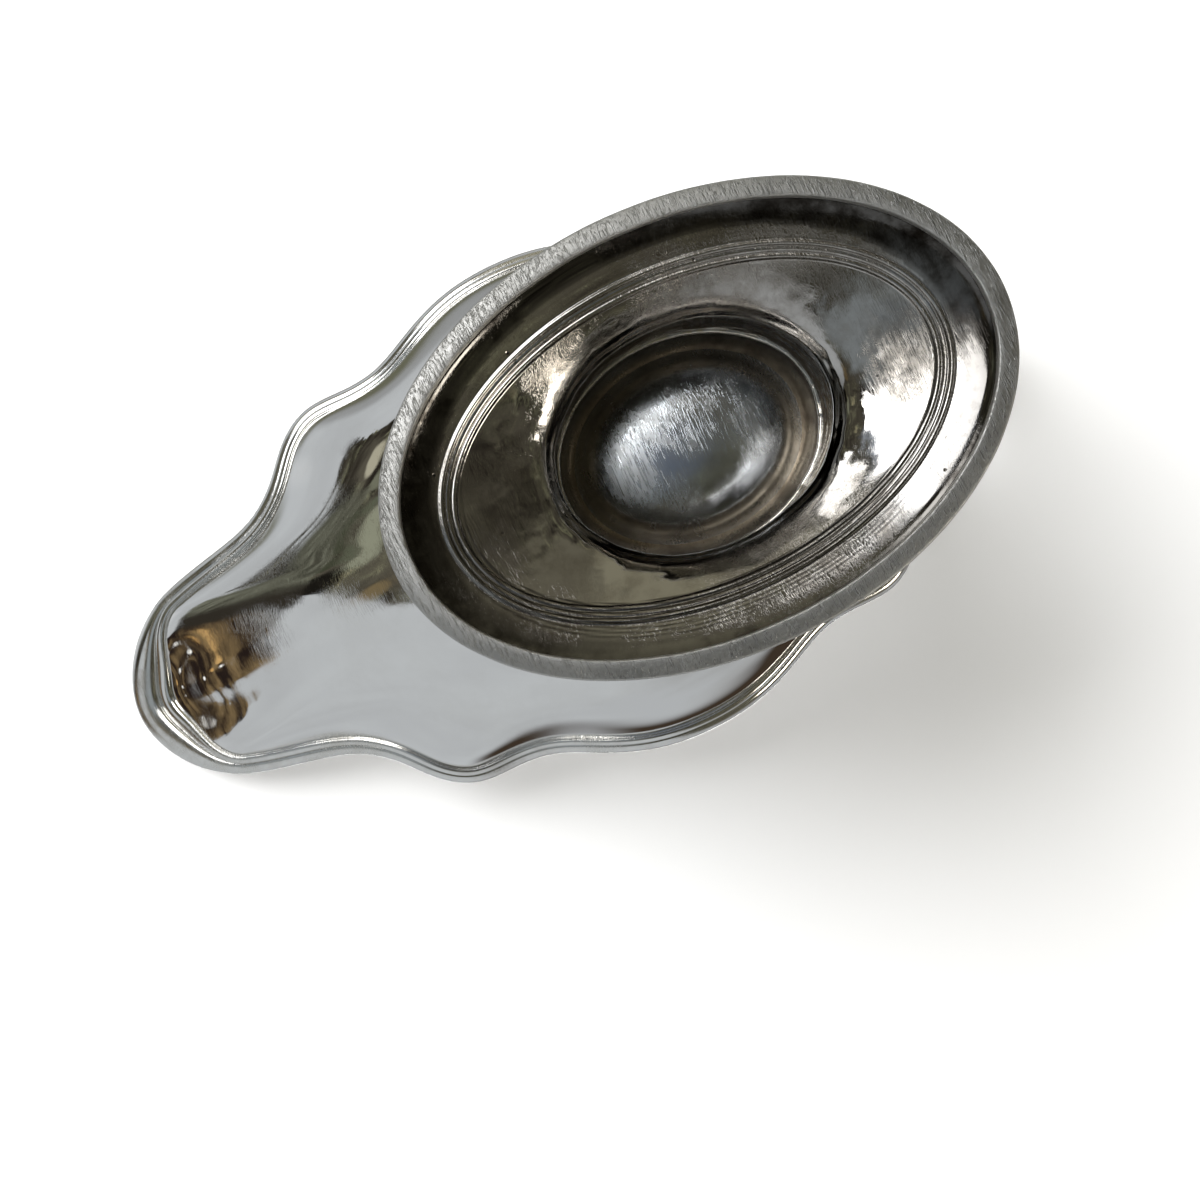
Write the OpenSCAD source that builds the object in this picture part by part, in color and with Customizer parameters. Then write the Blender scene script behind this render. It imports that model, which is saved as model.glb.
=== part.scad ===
// Footed silver sauce boat: a boat-shaped bowl with a pouring lip, an applied reeded rim,
// a tall hollow oval foot and a scroll handle. Millimetres, +Z up, pouring lip towards -X.

/* [Foot] */
// Length of the foot, end to end
foot_l = 100; // [90:1:110]
// Width of the foot, side to side
foot_w = 68.5; // [64:0.5:76]
// Width of the flat ring that the boat stands on
base_ring_w = 3.2; // [2:0.1:4]
// Thickness of the flat ring
base_ring_h = 2.2; // [1.6:0.1:3]
// Height of the foot's waist, where the collar starts
waist_z = 36; // [32:1:40]

/* [Bowl] */
// Thickness of the silver sheet
wall = 1.1; // [0.9:0.1:1.4]
// Height of the bowl's domed underside above the table
bowl_floor_z = 38; // [37:0.5:39]
// Height of the joint between the collar and the bowl
collar_top_z = 43.6; // [43:0.2:45]
// How far the lip turns out at the pouring end
lip_flare = 7.8; // [5:0.2:9]
// How far the rim turns out at the sides
side_flare = 1.8; // [1.4:0.1:2.4]

/* [Rim border] */
// How far the broad reed stands out from the wall
reed_relief = 1.6; // [1:0.1:2]
// How far the narrow bead stands out from the wall
bead_relief = 1.0; // [0.6:0.1:1.2]
// Height of the band that the reeds cover
border_h = 5.4; // [4:0.2:6.5]

/* [Handle] */
// Width of the handle at its thickest, side to side
handle_w = 7.4; // [5:0.2:8]
// Thickness of the handle at its thickest, front to back
handle_t = 5.6; // [4:0.2:6]

/* [Hidden] */

silver = [0.78, 0.77, 0.75];
worn_silver = [0.62, 0.61, 0.60];

// Smoothness: points between two outline points, and round an oval
rim_steps = 3;
oval_steps = 72;

// Half of the rim's outline, from the pouring lip round one side to the back: x, y, z.
// The waves at the shoulders are the same before and behind the bowl's widest place.
lobe_x = -16;
lip_half = [
    [-113, 0, 96], [-110.6, 8.4, 95], [-104.5, 15.2, 93.2], [-95, 19.4, 91], [-84.5, 21.7, 88.6],
    [-76, 24.2, 87], [-70, 28.6, 86.2], [-65, 34, 86.2], [-58.5, 37.8, 86.4]
];
shoulder = [[-50.5, 38.2, 86], [-44, 38.9, 85], [-36, 42.2, 83.4], [-27, 45.6, 82.4]];
lobe_crown = [[lobe_x, 46.9, 82]];
back_half = [[26.5, 37.4, 86.6], [32.5, 33.2, 87.2], [37, 26.6, 87.8], [41, 17.6, 88.8], [43.6, 8.6, 89.7], [44.4, 0, 90]];

function mirrored(p) = [2 * lobe_x - p[0], p[1], p[2]];
function backwards(list) = [for (i = [len(list) - 1 : -1 : 0]) list[i]];
half_rim = concat(
    lip_half, shoulder, lobe_crown, [for (p = backwards(shoulder)) mirrored(p)], back_half
);
other_half = [for (i = [len(half_rim) - 2 : -1 : 1]) [half_rim[i][0], -half_rim[i][1], half_rim[i][2]]];
rim_points = concat(half_rim, other_half);

// A smooth curve through points: u counts points, and its fraction lies between two of them.
function cubic(a, b, c, d, f) =
    b + 0.5 * f * (c - a + f * (2 * a - 5 * b + 4 * c - d + f * (3 * (b - c) + d - a)));
function ring_item(list, i) = list[(i + len(list)) % len(list)];
function end_item(list, i) = list[min(max(i, 0), len(list) - 1)];
function loop_curve(p, steps) = [
    for (k = [0 : steps * len(p) - 1])
        let (i = floor(k / steps), f = k / steps - i)
        cubic(ring_item(p, i - 1), p[i], ring_item(p, i + 1), ring_item(p, i + 2), f)
];
function open_curve(p, steps) = [
    for (k = [0 : steps * (len(p) - 1)])
        let (i = min(floor(k / steps), len(p) - 2), f = k / steps - i)
        cubic(end_item(p, i - 1), p[i], p[i + 1], end_item(p, i + 2), f)
];
function ramp(t) = let (c = min(max(t, 0), 1)) c * c * (3 - 2 * c);
function unit(v) = v / norm(v);
function sum(list, i = 0) = i < len(list) ? list[i] + sum(list, i + 1) : [0, 0, 0];

// The rim's outer edge, the way out of it in plan, and the wall's edge behind the reeds
rim = loop_curve(rim_points, rim_steps);
rim_count = len(rim);
function rim_out(k) =
    let (t = ring_item(rim, k + 1) - ring_item(rim, k - 1)) unit([-t[1], t[0], 0]);
border_inset = 0.9;
rim_edge = [for (k = [0 : rim_count - 1]) rim[k] - border_inset * rim_out(k)];

// The throat is where the upright wall ends and the turned-out rim begins.
function flare_at(x) =
    side_flare + ramp((-x - 60) / 30) + (lip_flare - side_flare - 1) * ramp((-x - 97) / 15);
function drop_at(x) = border_h - 1 * ramp((-x - 97) / 15);
throat = [
    for (k = [0 : rim_count - 1])
        rim_edge[k] - flare_at(rim[k][0]) * rim_out(k) - [0, 0, drop_at(rim[k][0])]
];
// The throat with its waves averaged out, which the belly follows
smooth_reach = 9;
soft_throat = [
    for (k = [0 : rim_count - 1])
        sum([for (j = [-smooth_reach : smooth_reach]) ring_item(throat, k + j)]) / (2 * smooth_reach + 1)
];

// The bowl's underside inside the foot, as ovals: half length, half width, height over its floor
dome = [
  [4.4, 3.5, 0.1], [8.8, 7, 0.42], [13, 10.3, 1.05], [15.9, 12.6, 2], [17.4, 13.8, 3], [20.6, 16.4, 4.5]
];
collar_top = [25, 20];
// The wall's profile from the collar to the throat: way out along the side, height there,
// way out towards the lip, height there, and how much of the rim's waves the wall keeps
profile = [
    [0.00, 0.00, 0.00, 0.00, 0.0], [0.34, 0.10, 0.22, 0.08, 0.0], [0.58, 0.23, 0.44, 0.22, 0.1],
    [0.77, 0.40, 0.63, 0.41, 0.3], [0.89, 0.60, 0.79, 0.62, 0.6], [0.96, 0.80, 0.91, 0.82, 0.9],
    [1.00, 1.00, 1.00, 1.00, 1.0]
];
function around(k) = atan2(rim[k][1], rim[k][0]);
function oval(size, z, k) = [size[0] * cos(around(k)), size[1] * sin(around(k)), z];
function wall_point(row, k) =
    let (
        lip = ramp((-rim[k][0] - 40) / 60),
        way = row[0] + (row[2] - row[0]) * lip,
        rise = row[1] + (row[3] - row[1]) * lip,
        top = soft_throat[k] + row[4] * (throat[k] - soft_throat[k]),
        low = oval(collar_top, collar_top_z, k)
    )
    [low[0] + way * (top[0] - low[0]), low[1] + way * (top[1] - low[1]), low[2] + rise * (top[2] - low[2])];

profile_steps = 2;
function meridian(k) = concat(
    [for (d = dome) oval(d, bowl_floor_z + d[2], k)],
    open_curve([for (row = profile) wall_point(row, k)], profile_steps),
    [rim_edge[k]]
);
meridians = [for (k = [0 : rim_count - 1]) meridian(k)];
rows = len(meridians[0]);
outer_rings = [for (r = [0 : rows - 1]) [for (k = [0 : rim_count - 1]) meridians[k][r]]];

// The way into the metal at a point of a set of rings, square to the surface
function inward(rings, r, k) =
    let (
        along = ring_item(rings[r], k + 1) - ring_item(rings[r], k - 1),
        up = rings[min(r + 1, len(rings) - 1)][k] - rings[max(r - 1, 0)][k]
    )
    unit(cross(along, up));
function thicken(rings, t, level_first, level_last) = [
    for (r = [0 : len(rings) - 1]) [
        for (k = [0 : len(rings[r]) - 1])
            let (
                n = inward(rings, r, k),
                flat = (r == 0 && level_first) || (r == len(rings) - 1 && level_last)
            )
            rings[r][k] + t * (flat ? unit([n[0], n[1], 0]) : n)
    ]
];

// A closed solid through a stack of rings, each with the same number of points
module skin(rings) {
    n = len(rings[0]);
    last = len(rings) - 1;
    polyhedron(
        points = [for (ring = rings) each ring],
        faces = concat(
            [[for (k = [0 : n - 1]) k]],
            [for (r = [0 : last - 1]) for (k = [0 : n - 1]) [r * n + k, (r + 1) * n + k, r * n + (k + 1) % n]],
            [
                for (r = [0 : last - 1]) for (k = [0 : n - 1])
                    [(r + 1) * n + k, (r + 1) * n + (k + 1) % n, r * n + (k + 1) % n]
            ],
            [[for (k = [n - 1 : -1 : 0]) last * n + k]]
        ),
        convexity = 8
    );
}

// A closed solid through a loop of sections, where the last section meets the first
module loop_skin(sections) {
    n = len(sections[0]);
    count = len(sections);
    polyhedron(
        points = [for (s = sections) each s],
        faces = [
            for (r = [0 : count - 1]) for (k = [0 : n - 1])
                let (a = r * n + k, b = r * n + (k + 1) % n, c = ((r + 1) % count) * n)
                each [[a, b, c + k], [b, c + (k + 1) % n, c + k]]
        ],
        convexity = 8
    );
}

module bowl() {
    inner_rings = thicken(outer_rings, wall, false, true);
    color(silver) skin(concat(inner_rings, backwards(outer_rings)));
}

// The border's section: a broad reed below the edge, a groove, and a narrow bead, on the wall's face
reed_part = 0.6;
bead_start = 0.64;
border_arc = concat(
    [[0, 0]],
    [for (a = [15 : 30 : 165]) [reed_part * (1 - cos(a)) / 2, reed_relief * sin(a)]],
    [[reed_part + 0.02, 0.2]],
    [for (a = [30 : 40 : 150]) [bead_start + (1 - bead_start) * (1 - cos(a)) / 2, bead_relief * sin(a)]],
    [[1, 0]]
);
function border_section(k) =
    let (
        top = rim_edge[k],
        down = throat[k] - top,
        along = ring_item(rim, k + 1) - ring_item(rim, k - 1),
        out = unit(cross(along, down))
    )
    [for (p = border_arc) top + p[0] * down + p[1] * out];

module rim_border() {
    color(silver) loop_skin([for (k = [0 : rim_count - 1]) border_section(k)]);
}

// Rings of the hollow foot, from its edge on the base ring up to the waist
waist = [23.4, 18.9];
reed_count = 3;
reed_pitch = 0.8;
reed_bulge = 0.35;
step_in = 7.9;
step_z = 8.4;
function foot_oval(inset, z) = [foot_l / 2 - inset, foot_w / 2 - inset, z];
edge_ovals = [
    foot_oval(0.5, base_ring_h), foot_oval(0.6, base_ring_h + 0.8), foot_oval(1.5, 4.6),
    foot_oval(3.4, 6.3), foot_oval(5.8, 7.5), foot_oval(step_in - 0.5, step_z - 0.3)
];
reed_ovals = [
    for (i = [0 : reed_count - 1]) for (a = [0, 60, 120])
        foot_oval(
            step_in + reed_pitch * (i + a / 180) - reed_bulge * sin(a),
            step_z + reed_pitch * (i + a / 180) * 0.8 + reed_bulge * sin(a)
        )
];
// The foot's profile from its last reed to the waist: how far in, and how far up
stem_profile = [
    [0, 0], [0.3, 0.045], [0.6, 0.1], [0.82, 0.155], [0.93, 0.21],
    [0.985, 0.29], [1, 0.42], [1, 0.68], [1, 1]
];
stem_foot = foot_oval(step_in + reed_pitch * reed_count, step_z + 0.8 * reed_pitch * reed_count);
stem_top = [waist[0], waist[1], waist_z];
stem_ovals = [
    for (p = stem_profile)
        [
            stem_foot[0] + p[0] * (stem_top[0] - stem_foot[0]),
            stem_foot[1] + p[0] * (stem_top[1] - stem_foot[1]),
            stem_foot[2] + p[1] * (stem_top[2] - stem_foot[2])
        ]
];
function oval_ring(o) = [
    for (k = [0 : oval_steps - 1])
        let (a = 360 * k / oval_steps)
        [o[0] * cos(a), -o[1] * sin(a), o[2]]
];
foot_rings = [for (o = concat(edge_ovals, reed_ovals, stem_ovals)) oval_ring(o)];

module foot_shell() {
    inner = thicken(foot_rings, wall, true, true);
    color(silver) loop_skin(concat(foot_rings, backwards(inner)));
}

module foot_base_ring() {
    outer = [for (p = oval_ring(foot_oval(0, 0))) [p[0], p[1]]];
    inner = [for (p = oval_ring(foot_oval(base_ring_w, 0))) [p[0], p[1]]];
    color(worn_silver)
        linear_extrude(base_ring_h)
            difference() {
                polygon(outer);
                polygon(inner);
            }
}

// The collar opens from the foot's waist up to the underside of the bowl.
collar_ovals = [
    [waist[0], waist[1], waist_z], [waist[0] + 0.3, waist[1] + 0.2, waist_z + 2.5],
    [waist[0] + 1.1, waist[1] + 0.8, waist_z + 5], [collar_top[0] + wall, collar_top[1] + wall, collar_top_z]
];
collar_rings = [for (o = collar_ovals) oval_ring(o)];

module neck_collar() {
    inner = thicken(collar_rings, wall, true, true);
    color(silver) loop_skin(concat(collar_rings, backwards(inner)));
}

// The handle's middle line, from the bowl's back wall out, up and over to the rim: x, z,
// and its thickness there as a part of the full thickness
handle_line = [
    [40.8, 60.5, 0.9], [45, 57.6, 0.85], [50, 57.4, 0.8], [54.6, 61, 0.85], [58, 69, 0.95],
    [60.6, 79, 1], [61.6, 89, 1], [60.4, 98.5, 0.95], [56.6, 105.4, 0.9], [50.6, 108, 0.85],
    [45.4, 105.6, 0.8], [42.8, 100.4, 0.75], [42.8, 95, 0.8]
];
handle_steps = 3;
handle_curve = open_curve(handle_line, handle_steps);
handle_count = len(handle_curve);
function handle_dir(i) =
    let (d = end_item(handle_curve, i + 1) - end_item(handle_curve, i - 1)) unit([d[0], d[1]]);
function handle_point(i, across, side) =
    let (p = handle_curve[i], d = handle_dir(i)) [p[0] + across * d[1], side, p[1] - across * d[0]];
handle_sides = 12;
function handle_section(i) = [
    for (k = [0 : handle_sides - 1])
        let (a = 360 * k / handle_sides, s = handle_curve[i][2])
        handle_point(i, s * handle_t / 2 * cos(a), s * handle_w / 2 * sin(a))
];

module handle_scroll() {
    color(silver) skin([for (i = [0 : handle_count - 1]) handle_section(i)]);
}

// A leaf laid over the handle's crest, where the thumb presses
rest_from = 20;
rest_to = 30;
rest_w = 9;
rest_t = 1.4;
function rest_section(i) =
    let (
        t = (i - rest_from) / (rest_to - rest_from),
        half = rest_w / 2 * (0.35 + 0.65 * sin(180 * min(max(t, 0.06), 0.94))),
        seat = handle_curve[i][2] * handle_t / 2,
        edge = seat - 0.15
    )
    [
        handle_point(i, edge + 0.15, -half), handle_point(i, seat + 0.15, 0), handle_point(i, edge + 0.15, half),
        handle_point(i, edge + 0.55, half), handle_point(i, seat + rest_t * 0.75, half * 0.5),
        handle_point(i, seat + rest_t, 0), handle_point(i, seat + rest_t * 0.75, -half * 0.5),
        handle_point(i, edge + 0.55, -half)
    ];

module handle_thumb_rest() {
    color(silver) skin([for (i = [rest_from : rest_to]) backwards(rest_section(i))]);
}

// A small stepped block that carries the handle's upper end on the rim
upper_mount_x = 42.8;
module handle_upper_mount() {
    color(silver)
        translate([upper_mount_x, 0, back_half[len(back_half) - 1][2]])
            union() {
                cylinder(h = 2.2, r = 3.4, $fn = 48);
                cylinder(h = 5, r = 2.5, $fn = 48);
            }
}

// A round pad that carries the handle's lower end on the bowl's back wall
lower_mount_z = 60.5;
module handle_lower_mount() {
    color(silver)
        translate([37.9, 0, lower_mount_z])
            rotate([0, 90, 0])
                cylinder(h = 2.9, r1 = 6, r2 = 4.4, $fn = 48);
}

bowl();
rim_border();
neck_collar();
foot_shell();
foot_base_ring();
handle_scroll();
handle_thumb_rest();
handle_upper_mount();
handle_lower_mount();
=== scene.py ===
"""Looks of a footed silver sauce boat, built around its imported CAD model.

The boat stands upright in its own frame: +Z up, pouring lip towards -X, handle towards +X.
The camera looks at it from straight below, as it lies upside down on a white table, so the
table is a plane over the rim that only shows from underneath.
"""
import math

import bpy
import numpy as np
from mathutils import Matrix, Vector, noise


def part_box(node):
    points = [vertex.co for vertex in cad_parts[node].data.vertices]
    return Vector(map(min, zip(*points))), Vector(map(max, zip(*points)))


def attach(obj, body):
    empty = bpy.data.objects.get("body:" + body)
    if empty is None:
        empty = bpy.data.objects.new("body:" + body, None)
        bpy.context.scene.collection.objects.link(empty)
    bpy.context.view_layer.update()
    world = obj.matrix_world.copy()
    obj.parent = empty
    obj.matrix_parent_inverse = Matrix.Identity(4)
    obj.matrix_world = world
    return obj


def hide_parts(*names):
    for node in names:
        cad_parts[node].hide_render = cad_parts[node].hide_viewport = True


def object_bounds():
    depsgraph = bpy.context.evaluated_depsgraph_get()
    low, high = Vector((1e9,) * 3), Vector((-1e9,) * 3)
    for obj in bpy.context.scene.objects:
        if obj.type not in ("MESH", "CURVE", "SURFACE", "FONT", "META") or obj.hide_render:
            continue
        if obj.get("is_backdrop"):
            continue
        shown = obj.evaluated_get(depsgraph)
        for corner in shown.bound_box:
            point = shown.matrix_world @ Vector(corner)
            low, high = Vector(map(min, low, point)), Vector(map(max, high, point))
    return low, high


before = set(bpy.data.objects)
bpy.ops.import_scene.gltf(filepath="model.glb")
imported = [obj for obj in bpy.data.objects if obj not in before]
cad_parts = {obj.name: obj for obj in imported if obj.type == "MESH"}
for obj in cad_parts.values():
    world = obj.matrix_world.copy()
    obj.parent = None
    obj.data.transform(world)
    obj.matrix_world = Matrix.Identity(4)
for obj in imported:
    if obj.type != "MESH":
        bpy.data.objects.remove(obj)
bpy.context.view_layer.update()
MM = 0.001


# ---------------------------------------------------------------- curves and meshes

def second_derivatives(points, at, closed):
    """The bends of a smooth cubic through points at the parameters given."""
    n = len(points)
    step = np.diff(at)
    a = np.zeros((n, n))
    b = np.zeros(points.shape)
    rows = range(n) if closed else range(1, n - 1)
    for i in rows:
        h0 = step[i - 1]
        h1 = step[i] if i < len(step) else step[0]
        before, after = points[i - 1], points[(i + 1) % n]
        a[i, i - 1] += h0
        a[i, i] += 2 * (h0 + h1)
        a[i, (i + 1) % n] += h1
        b[i] = 6 * ((after - points[i]) / h1 - (points[i] - before) / h0)
    if not closed:
        a[0, 0] = a[-1, -1] = 1
    return np.linalg.solve(a, b.reshape(n, -1)).reshape(points.shape)


def smooth_curve(points, wanted, closed=False, at=None):
    """Points on a smooth cubic through points; wanted holds parameters from 0 to 1."""
    points = np.asarray(points, float)
    chain = np.concatenate([points, points[:1]]) if closed else points
    if at is None:
        gaps = np.linalg.norm(np.diff(chain, axis=0).reshape(len(chain) - 1, -1), axis=1)
        at = np.concatenate([[0], np.cumsum(gaps)])
    bend = second_derivatives(points, at, closed)
    if closed:
        bend = np.concatenate([bend, bend[:1]])
    t = np.asarray(wanted) * at[-1]
    i = np.clip(np.searchsorted(at, t, side="right") - 1, 0, len(at) - 2)
    h = at[i + 1] - at[i]
    u = (at[i + 1] - t) / h
    v = 1 - u
    shape = (-1,) + (1,) * (points.ndim - 1)
    h, u, v = h.reshape(shape), u.reshape(shape), v.reshape(shape)
    straight = u * chain[i] + v * chain[i + 1]
    return straight + h * h / 6 * ((u**3 - u) * bend[i] + (v**3 - v) * bend[i + 1])


def even_loop(points, count):
    """A closed smooth curve through points, cut into equal lengths."""
    fine = smooth_curve(points, np.linspace(0, 1, 40 * count), closed=True)
    gaps = np.linalg.norm(np.diff(fine, axis=0), axis=1)
    length = np.concatenate([[0], np.cumsum(gaps)])
    want = np.linspace(0, length[-1], count, endpoint=False)
    return np.stack([np.interp(want, length, fine[:, c]) for c in range(3)], axis=1)


def ramp(t):
    """A smooth rise from 0 to 1 as t goes from 0 to 1, and level outside that."""
    t = np.clip(t, 0, 1)
    return t * t * (3 - 2 * t)


def between(value, start, end):
    """A smooth rise from 0 where value is at start to 1 where it is at end."""
    return ramp((value - start) / (end - start))


def units(v):
    return v / np.maximum(np.linalg.norm(v, axis=-1, keepdims=True), 1e-9)


def grid_normals(grid):
    """Outward directions of a grid of rows, each a loop that runs clockwise seen from above."""
    along = np.roll(grid, -1, axis=1) - np.roll(grid, 1, axis=1)
    up = np.gradient(grid, axis=0)
    return units(np.cross(up, along))


def add_object(name, vertices, faces, smooth=True):
    mesh = bpy.data.meshes.new(name)
    mesh.from_pydata((np.asarray(vertices) * MM).tolist(), [], faces)
    mesh.validate()
    piece = bpy.data.objects.new(name, mesh)
    bpy.context.scene.collection.objects.link(piece)
    for polygon in mesh.polygons:
        polygon.use_smooth = smooth
    return piece


def loop_grid(name, grid, joined=False, cap_first=False, cap_last=False):
    """A skin over rows of points that each close on themselves.

    joined closes the last row onto the first; a cap closes an end with a fan to its middle.
    """
    rows, n = grid.shape[:2]
    vertices = grid.reshape(-1, 3)
    faces = []
    for r in range(rows if joined else rows - 1):
        s = (r + 1) % rows
        for k in range(n):
            m = (k + 1) % n
            faces.append((r * n + k, s * n + k, s * n + m, r * n + m))
    if cap_first:
        vertices = np.concatenate([vertices, [grid[0].mean(axis=0)]])
        middle = len(vertices) - 1
        faces += [(middle, k, (k + 1) % n) for k in range(n)]
    if cap_last:
        vertices = np.concatenate([vertices, [grid[-1].mean(axis=0)]])
        middle = len(vertices) - 1
        start = (rows - 1) * n
        faces += [(middle, start + (k + 1) % n, start + k) for k in range(n)]
    return add_object(name, vertices, faces)


def set_tarnish_wear_and_painted_light(piece, values):
    """Keeps how tarnished or rubbed each vertex is, from 0 to 1, for the material to read; the value
    also carries painted shade and painted highlight.
    """
    layer = piece.data.attributes.new("tarnish_wear_and_painted_light", "FLOAT", "POINT")
    layer.data.foreach_set("value", values.reshape(-1))


def finish_piece(piece, nodes, slot, *materials):
    """Rides the piece on the one body, hides the CAD parts it stands for and gives it its materials.
    """
    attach(piece, "root")
    if nodes:
        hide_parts(*nodes)
    for material in materials:
        piece.data.materials.append(material)
    return piece


def noise_at(points, scale, seed, octaves=3):
    """Smooth noise from -1 to 1 at each point, the same on every run."""
    flat = points.reshape(-1, 3)
    shift = Vector((seed * 7.31, seed * 3.17, seed * 5.93))
    values = [noise.fractal(Vector(p) / scale + shift, 1.0, 2.0, octaves) for p in flat.tolist()]
    return np.array(values).reshape(points.shape[:-1])


# ---------------------------------------------------------------- design numbers, in millimetres

FOOT_L, FOOT_W = 100.0, 68.5
RING_W, RING_H = 3.2, 2.2
# How much wear has raised the ring's face at its outer edge.
CROWN = 0.45
# Half sizes in X and Y of the foot's waist and of the collar's top inside the wall.
WAIST = (23.4, 18.9)
COLLAR_TOP = (25.0, 20.0)
WAIST_Z = 36.0
BOWL_FLOOR_Z = 38.0
COLLAR_TOP_Z = 43.6
WALL = 1.1
HANDLE_W, HANDLE_T = 7.4, 5.6

# The border: how far its two reeds stand off, its height, how far the wall's edge lies behind
# the rim's line, and how far the wire is sunk in the wall.
REED_RELIEF, BEAD_RELIEF = 1.6, 1.0
BORDER_H = 5.4
BORDER_INSET = 0.9
BORDER_SINK = 0.25

# How far the rim flares out over the throat, and how far the throat's waves are smoothed below it.
LIP_FLARE, SIDE_FLARE, SPOUT_FLARE = 7.8, 1.8, 1.0
THROAT_REACH = 29.0
# Where along X the body turns into the spout, the spout flares and its tip flares, start and end.
BODY_TO_SPOUT = (-40.0, -100.0)
SPOUT_FLARES = (-60.0, -90.0)
TIP_FLARES = (-97.0, -112.0)

# The rim, as the places it passes from the lip's tip to the back on one side.
LOBE_X = -16.0
LIP_HALF = [
    (-113, 0, 96), (-110.6, 8.4, 95), (-104.5, 15.2, 93.2), (-95, 19.4, 91), (-84.5, 21.7, 88.6),
    (-76, 24.2, 87), (-70, 28.6, 86.2), (-65, 34, 86.2), (-58.5, 37.8, 86.4),
]
SHOULDER = [(-50.5, 38.2, 86), (-44, 38.9, 85), (-36, 42.2, 83.4), (-27, 45.6, 82.4)]
LOBE_CROWN = [(LOBE_X, 46.9, 82)]
BACK_HALF = [
    (26.5, 37.4, 86.6), (32.5, 33.2, 87.2), (37, 26.6, 87.8), (41, 17.6, 88.8),
    (43.6, 8.6, 89.7), (44.4, 0, 90),
]
# The bowl's domed floor inside the neck: half sizes in X and Y, and height over its middle.
FLOOR_MIDDLE = (0.05, 0.04, -0.02)
DOME = [
    (4.4, 3.5, 0.10), (8.8, 7.0, 0.42), (13, 10.3, 1.05), (15.9, 12.6, 2.0), (17.4, 13.8, 3.0),
    (18.3, 14.5, 3.75), (20.6, 16.4, 4.5),
]
# The wall from the collar to the throat: way out and rise on the body, the same on the spout, and
# how much of the rim's waves it has.
PROFILE = [
    (0.00, 0.00, 0.00, 0.00, 0.0), (0.34, 0.10, 0.22, 0.08, 0.0), (0.58, 0.23, 0.44, 0.22, 0.1),
    (0.77, 0.40, 0.63, 0.41, 0.3), (0.89, 0.60, 0.79, 0.62, 0.6), (0.96, 0.80, 0.91, 0.82, 0.9),
    (1.00, 1.00, 1.00, 1.00, 1.0),
]
# How many rows of mesh lie between one of the bowl's outlines and the next.
BOWL_STEPS = [3, 4, 5, 5, 5, 5, 5, 4, 8, 8, 8, 8, 8, 8, 10]

# The foot's slope and stem: way in and rise, from its step to the waist.
PEDESTAL = [
    (0.00, 0.000), (0.30, 0.045), (0.60, 0.100), (0.82, 0.155), (0.93, 0.210),
    (0.985, 0.290), (1.0, 0.42), (1.0, 0.68), (1.0, 1.0),
]
# The outer step's reeds and the inner ridges, each as inset, height, pitch, rise and bulges.
STEP_IN, STEP_Z, REED_PITCH, REED_RISE, REED_BULGES = 7.9, 8.4, 0.8, 0.64, (0.32, 0.32, 0.32)
RIDGE_IN, RIDGE_Z, RIDGE_PITCH, RIDGE_RISE, RIDGE_BULGES = 8.5, 7.7, 0.95, 0.55, (0.34, 0.22, 0.30)
# The rolled lip inside the foot, where the slope turns up into the stem.
LIP_Z, LIP_HALF_H, LIP_BULGE = 16.2, 0.85, 0.42
# Ways round the foot, in X and Y: on the first, tarnish and painted shade are heavy inside the foot;
# on the second, the ring is worn bright and painted lighter as its lit side.
TARNISHED_AND_SHADED_SIDE = np.array([0.10, -0.99])
WORN_AND_LIT_SIDE = np.array([-0.57, -0.82])
# The dark spot where the slope meets the stem.
SCORCH_AT, SCORCH_REACH = np.array([21.9, 3.2, 15.6]), 3.6

# Points round the rim's loops and round the foot's.
ROUND_RIM = 720
ROUND_OVAL = 480


# ---------------------------------------------------------------- the bowl

def rim_loop():
    behind = [(2 * LOBE_X - x, y, z) for x, y, z in reversed(SHOULDER)]
    half = LIP_HALF + SHOULDER + LOBE_CROWN + behind + BACK_HALF
    other = [(x, -y, z) for x, y, z in half[-2:0:-1]]
    return even_loop(np.array(half + other, float), ROUND_RIM)


def loop_mean(loop, reach):
    """A loop with its waves averaged out over reach millimetres each way."""
    gap = np.linalg.norm(np.roll(loop, -1, axis=0) - loop, axis=1).mean()
    half = int(round(reach / gap))
    return sum(np.roll(loop, j, axis=0) for j in range(-half, half + 1)) / (2 * half + 1)


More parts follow.
